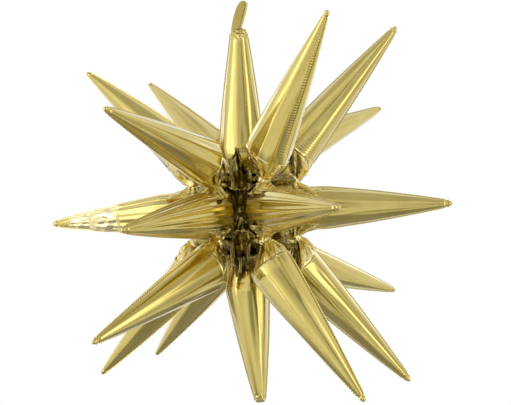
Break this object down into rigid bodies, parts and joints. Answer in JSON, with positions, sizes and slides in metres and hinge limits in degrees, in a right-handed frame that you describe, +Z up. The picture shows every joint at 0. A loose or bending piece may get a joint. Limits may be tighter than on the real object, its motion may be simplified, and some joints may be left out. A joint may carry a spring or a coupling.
{
  "type": "foil starburst balloon",
  "caption": "Air-filled gold foil starburst: flanged foil cones on pinched necks round a gathered core, with a folding filling tail for hanging.",
  "frame": {"origin": "on the axis of the core, at the height of the middle cones' necks", "axes": "+Z up along the top cone, +Y away from the picture's viewer, +X to the viewer's right"},
  "size_m": [1.0442, 0.9976, 1.0312],
  "materials": {
    "gold_foil": "metallised film, satin gold mirror",
    "valve_film": "clear film"
  },
  "bodies": {
    "core": {"core_panel_1": "gold_foil", "core_panel_2": "gold_foil"},
    "middle_right_cone": {"middle_right_cone_panel_1": "gold_foil", "middle_right_cone_panel_2": "gold_foil"},
    "middle_back_right_cone": {"middle_back_right_cone_panel_1": "gold_foil", "middle_back_right_cone_panel_2": "gold_foil"},
    "middle_back_left_cone": {"middle_back_left_cone_panel_1": "gold_foil", "middle_back_left_cone_panel_2": "gold_foil"},
    "middle_left_cone": {"middle_left_cone_panel_1": "gold_foil", "middle_left_cone_panel_2": "gold_foil"},
    "middle_front_left_cone": {"middle_front_left_cone_panel_1": "gold_foil", "middle_front_left_cone_panel_2": "gold_foil"},
    "middle_front_right_cone": {"middle_front_right_cone_panel_1": "gold_foil", "middle_front_right_cone_panel_2": "gold_foil"},
    "upper_right_cone": {"upper_right_cone_panel_1": "gold_foil", "upper_right_cone_panel_2": "gold_foil"},
    "upper_back_right_cone": {"upper_back_right_cone_panel_1": "gold_foil", "upper_back_right_cone_panel_2": "gold_foil"},
    "upper_back_left_cone": {"upper_back_left_cone_panel_1": "gold_foil", "upper_back_left_cone_panel_2": "gold_foil"},
    "upper_left_cone": {"upper_left_cone_panel_1": "gold_foil", "upper_left_cone_panel_2": "gold_foil"},
    "upper_front_left_cone": {"upper_front_left_cone_panel_1": "gold_foil", "upper_front_left_cone_panel_2": "gold_foil"},
    "upper_front_right_cone": {"upper_front_right_cone_panel_1": "gold_foil", "upper_front_right_cone_panel_2": "gold_foil"},
    "lower_right_cone": {"lower_right_cone_panel_1": "gold_foil", "lower_right_cone_panel_2": "gold_foil"},
    "lower_back_right_cone": {"lower_back_right_cone_panel_1": "gold_foil", "lower_back_right_cone_panel_2": "gold_foil"},
    "lower_back_left_cone": {"lower_back_left_cone_panel_1": "gold_foil", "lower_back_left_cone_panel_2": "gold_foil"},
    "lower_left_cone": {"lower_left_cone_panel_1": "gold_foil", "lower_left_cone_panel_2": "gold_foil"},
    "lower_front_left_cone": {"lower_front_left_cone_panel_1": "gold_foil", "lower_front_left_cone_panel_2": "gold_foil"},
    "lower_front_right_cone": {"lower_front_right_cone_panel_1": "gold_foil", "lower_front_right_cone_panel_2": "gold_foil"},
    "top_cone": {"top_cone_panel_1": "gold_foil", "top_cone_panel_2": "gold_foil", "filling_valve": "valve_film"},
    "bottom_cone": {"bottom_cone_panel_1": "gold_foil", "bottom_cone_panel_2": "gold_foil"},
    "filling_tail": {"filling_tail": "gold_foil"}
  },
  "joints": [
    {"name": "middle_right_neck", "type": "hinge", "parent": "core", "child": "middle_right_cone", "pos_m": [0.04503, 0, 0], "axis": [0, -1, 0], "range_deg": [-4, 4], "stiffness_Nm_per_rad": 1},
    {"name": "middle_back_right_neck", "type": "hinge", "parent": "core", "child": "middle_back_right_cone", "pos_m": [0.02583, 0.03688, 0], "axis": [0.8192, -0.5736, 0], "range_deg": [-4, 4], "stiffness_Nm_per_rad": 1},
    {"name": "middle_back_left_neck", "type": "hinge", "parent": "core", "child": "middle_back_left_cone", "pos_m": [-0.0154, 0.04231, 0], "axis": [0.9397, 0.342, 0], "range_deg": [-4, 4], "stiffness_Nm_per_rad": 1},
    {"name": "middle_left_neck", "type": "hinge", "parent": "core", "child": "middle_left_cone", "pos_m": [-0.04282, 0.01391, 0], "axis": [0.309, 0.9511, 0], "range_deg": [-4, 4], "stiffness_Nm_per_rad": 1},
    {"name": "middle_front_left_neck", "type": "hinge", "parent": "core", "child": "middle_front_left_cone", "pos_m": [-0.02251, -0.03899, 0], "axis": [-0.866, 0.5, 0], "range_deg": [-4, 4], "stiffness_Nm_per_rad": 1},
    {"name": "middle_front_right_neck", "type": "hinge", "parent": "core", "child": "middle_front_right_cone", "pos_m": [0.01831, -0.04113, 0], "axis": [-0.9135, -0.4067, 0], "range_deg": [-4, 4], "stiffness_Nm_per_rad": 1},
    {"name": "upper_right_neck", "type": "hinge", "parent": "middle_right_cone", "child": "upper_right_cone", "pos_m": [0.12738, 0, 0.07722], "axis": [-0.0175, -0.9998, 0], "range_deg": [-12, 12], "stiffness_Nm_per_rad": 0.3},
    {"name": "upper_back_right_neck", "type": "hinge", "parent": "middle_back_right_cone", "child": "upper_back_right_cone", "pos_m": [0.07149, 0.1021, 0.08005], "axis": [0.6691, -0.7431, 0], "range_deg": [-9, 12], "stiffness_Nm_per_rad": 0.3},
    {"name": "upper_back_left_neck", "type": "hinge", "parent": "middle_back_left_cone", "child": "upper_back_left_cone", "pos_m": [-0.04447, 0.12219, 0.0743], "axis": [0.7986, 0.6018, 0], "range_deg": [-12, 12], "stiffness_Nm_per_rad": 0.3},
    {"name": "upper_left_neck", "type": "hinge", "parent": "middle_left_cone", "child": "upper_left_cone", "pos_m": [-0.12896, 0.0419, 0.0674], "axis": [0.5592, 0.829, 0], "range_deg": [-12, 12], "stiffness_Nm_per_rad": 0.3},
    {"name": "upper_front_left_neck", "type": "hinge", "parent": "middle_front_left_cone", "child": "upper_front_left_cone", "pos_m": [-0.06809, -0.11793, 0.06661], "axis": [-0.848, 0.5299, 0], "range_deg": [-12, 12], "stiffness_Nm_per_rad": 0.3},
    {"name": "upper_front_right_neck", "type": "hinge", "parent": "middle_front_right_cone", "child": "upper_front_right_cone", "pos_m": [0.05235, -0.11759, 0.07577], "axis": [-0.829, -0.5592, 0], "range_deg": [-12, 12], "stiffness_Nm_per_rad": 0.3},
    {"name": "lower_right_neck", "type": "hinge", "parent": "middle_right_cone", "child": "lower_right_cone", "pos_m": [0.13257, 0, -0.07129], "axis": [-0.0349, 0.9994, 0], "range_deg": [-12, 12], "stiffness_Nm_per_rad": 0.3},
    {"name": "lower_back_right_neck", "type": "hinge", "parent": "middle_back_right_cone", "child": "lower_back_right_cone", "pos_m": [0.07743, 0.11059, -0.06819], "axis": [-0.6157, 0.788, 0], "range_deg": [-11, 12], "stiffness_Nm_per_rad": 0.3},
    {"name": "lower_back_left_neck", "type": "hinge", "parent": "middle_back_left_cone", "child": "lower_back_left_cone", "pos_m": [-0.04447, 0.12219, -0.0743], "axis": [-0.788, -0.6157, 0], "range_deg": [-12, 12], "stiffness_Nm_per_rad": 0.3},
    {"name": "lower_left_neck", "type": "hinge", "parent": "middle_left_cone", "child": "lower_left_cone", "pos_m": [-0.11787, 0.0383, -0.08074], "axis": [-0.5, -0.866, 0], "range_deg": [-12, 12], "stiffness_Nm_per_rad": 0.3},
    {"name": "lower_front_left_neck", "type": "hinge", "parent": "middle_front_left_cone", "child": "lower_front_left_cone", "pos_m": [-0.06161, -0.10672, -0.08143], "axis": [0.7547, -0.6561, 0], "range_deg": [-9, 12], "stiffness_Nm_per_rad": 0.3},
    {"name": "lower_front_right_neck", "type": "hinge", "parent": "middle_front_right_cone", "child": "lower_front_right_cone", "pos_m": [0.05341, -0.11996, -0.0728], "axis": [0.5, 0.866, 0], "range_deg": [-12, 12], "stiffness_Nm_per_rad": 0.3},
    {"name": "top_neck", "type": "hinge", "parent": "core", "child": "top_cone", "pos_m": [0, 0, 0.0593], "axis": [1, 0, 0], "range_deg": [-5, 5], "stiffness_Nm_per_rad": 0.6},
    {"name": "bottom_neck", "type": "hinge", "parent": "core", "child": "bottom_cone", "pos_m": [0, 0, -0.0943], "axis": [1, 0, 0], "range_deg": [-5, 5], "stiffness_Nm_per_rad": 0.6},
    {"name": "tail_fold", "type": "hinge", "parent": "top_cone", "child": "filling_tail", "pos_m": [-0.01053, 0, 0.46136], "axis": [0.9997, 0, 0.0262], "range_deg": [-75, 75], "stiffness_Nm_per_rad": 0.004}
  ]
}
